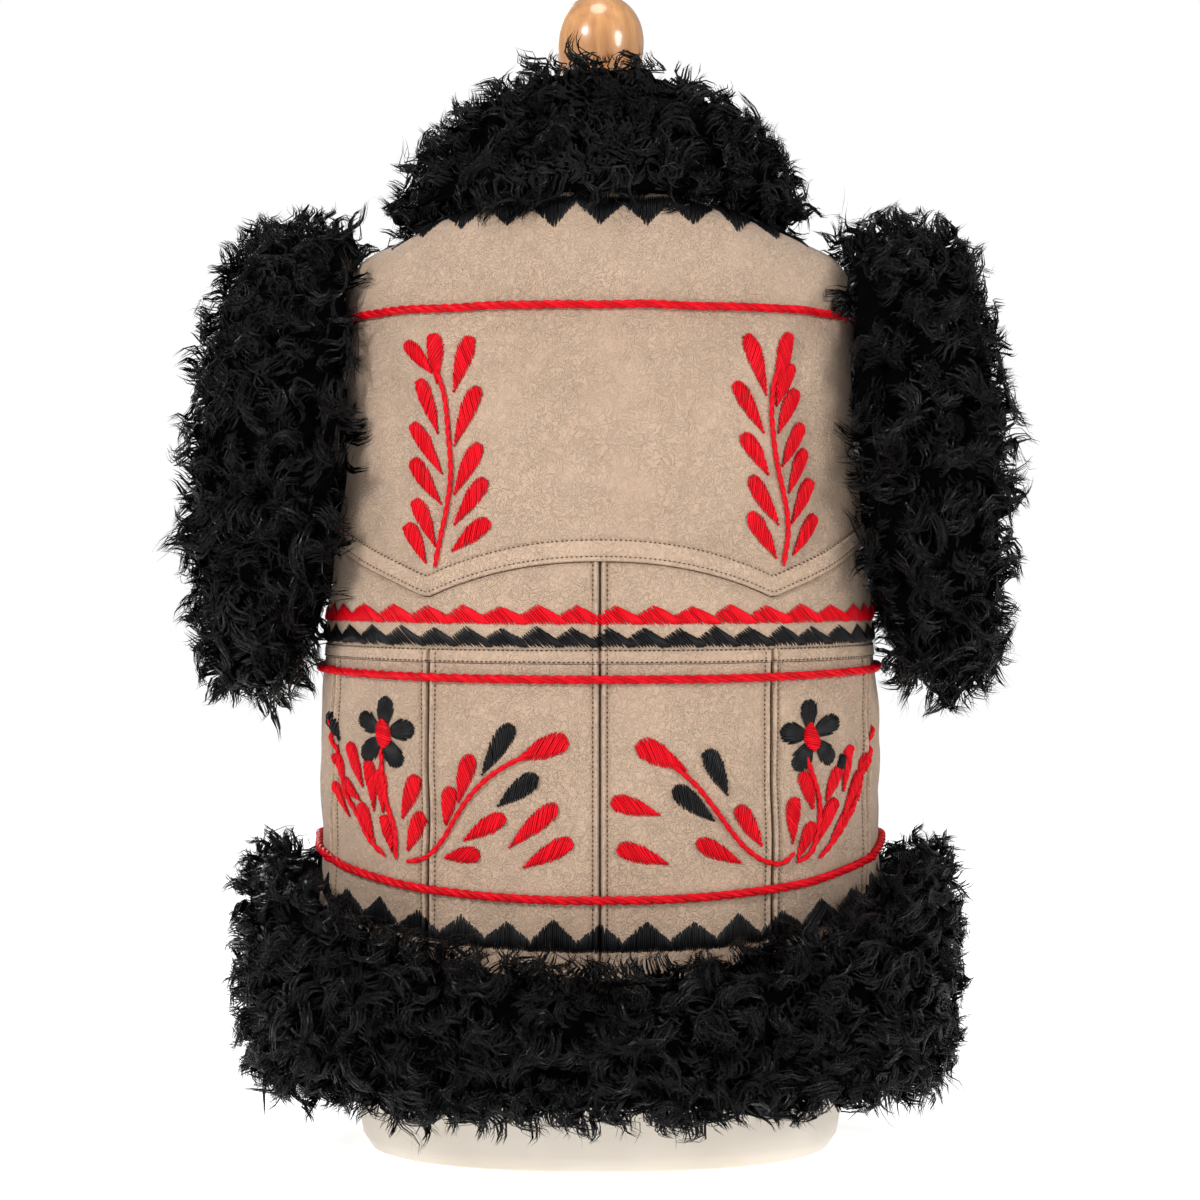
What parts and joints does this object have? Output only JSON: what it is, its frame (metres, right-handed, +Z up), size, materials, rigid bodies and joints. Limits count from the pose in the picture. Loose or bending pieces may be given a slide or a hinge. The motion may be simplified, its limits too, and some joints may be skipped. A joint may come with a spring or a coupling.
{
  "type": "embroidered folk vest on a limbless dress form",
  "caption": "Sleeveless suede folk vest with red and black embroidery and black curly fur at collar, armholes and hem, worn by a plain dress form with a wooden neck knob.",
  "frame": {"origin": "on the ground under the middle of the dress form", "axes": "+Z up; the vest's back faces +Y, its front opening faces -Y, and +X runs across it"},
  "size_m": [0.572, 0.3954, 0.801],
  "materials": {
    "suede": "matte tan suede with a fine wormy grain",
    "curly_fur": "black curly lamb fur, glossy locks",
    "form_cover": "cream cotton drawn smooth over the form",
    "varnished_wood": "honey wood, gloss varnish",
    "red_thread": "silky red embroidery thread",
    "black_thread": "silky black embroidery thread"
  },
  "bodies": {
    "root": {"back_yoke": "suede", "back_waist_left": "suede", "back_waist_right": "suede", "waistband": "suede", "back_skirt_left": "suede", "back_skirt_right": "suede", "side_skirt_left": "suede", "side_skirt_right": "suede", "front_left": "suede", "front_right": "suede", "front_skirt_left": "suede", "front_skirt_right": "suede", "collar_fur": "curly_fur", "armhole_fur_left": "curly_fur", "armhole_fur_right": "curly_fur", "hem_fur": "curly_fur", "dress_form": "form_cover", "neck_knob": "varnished_wood"}
  },
  "joints": []
}
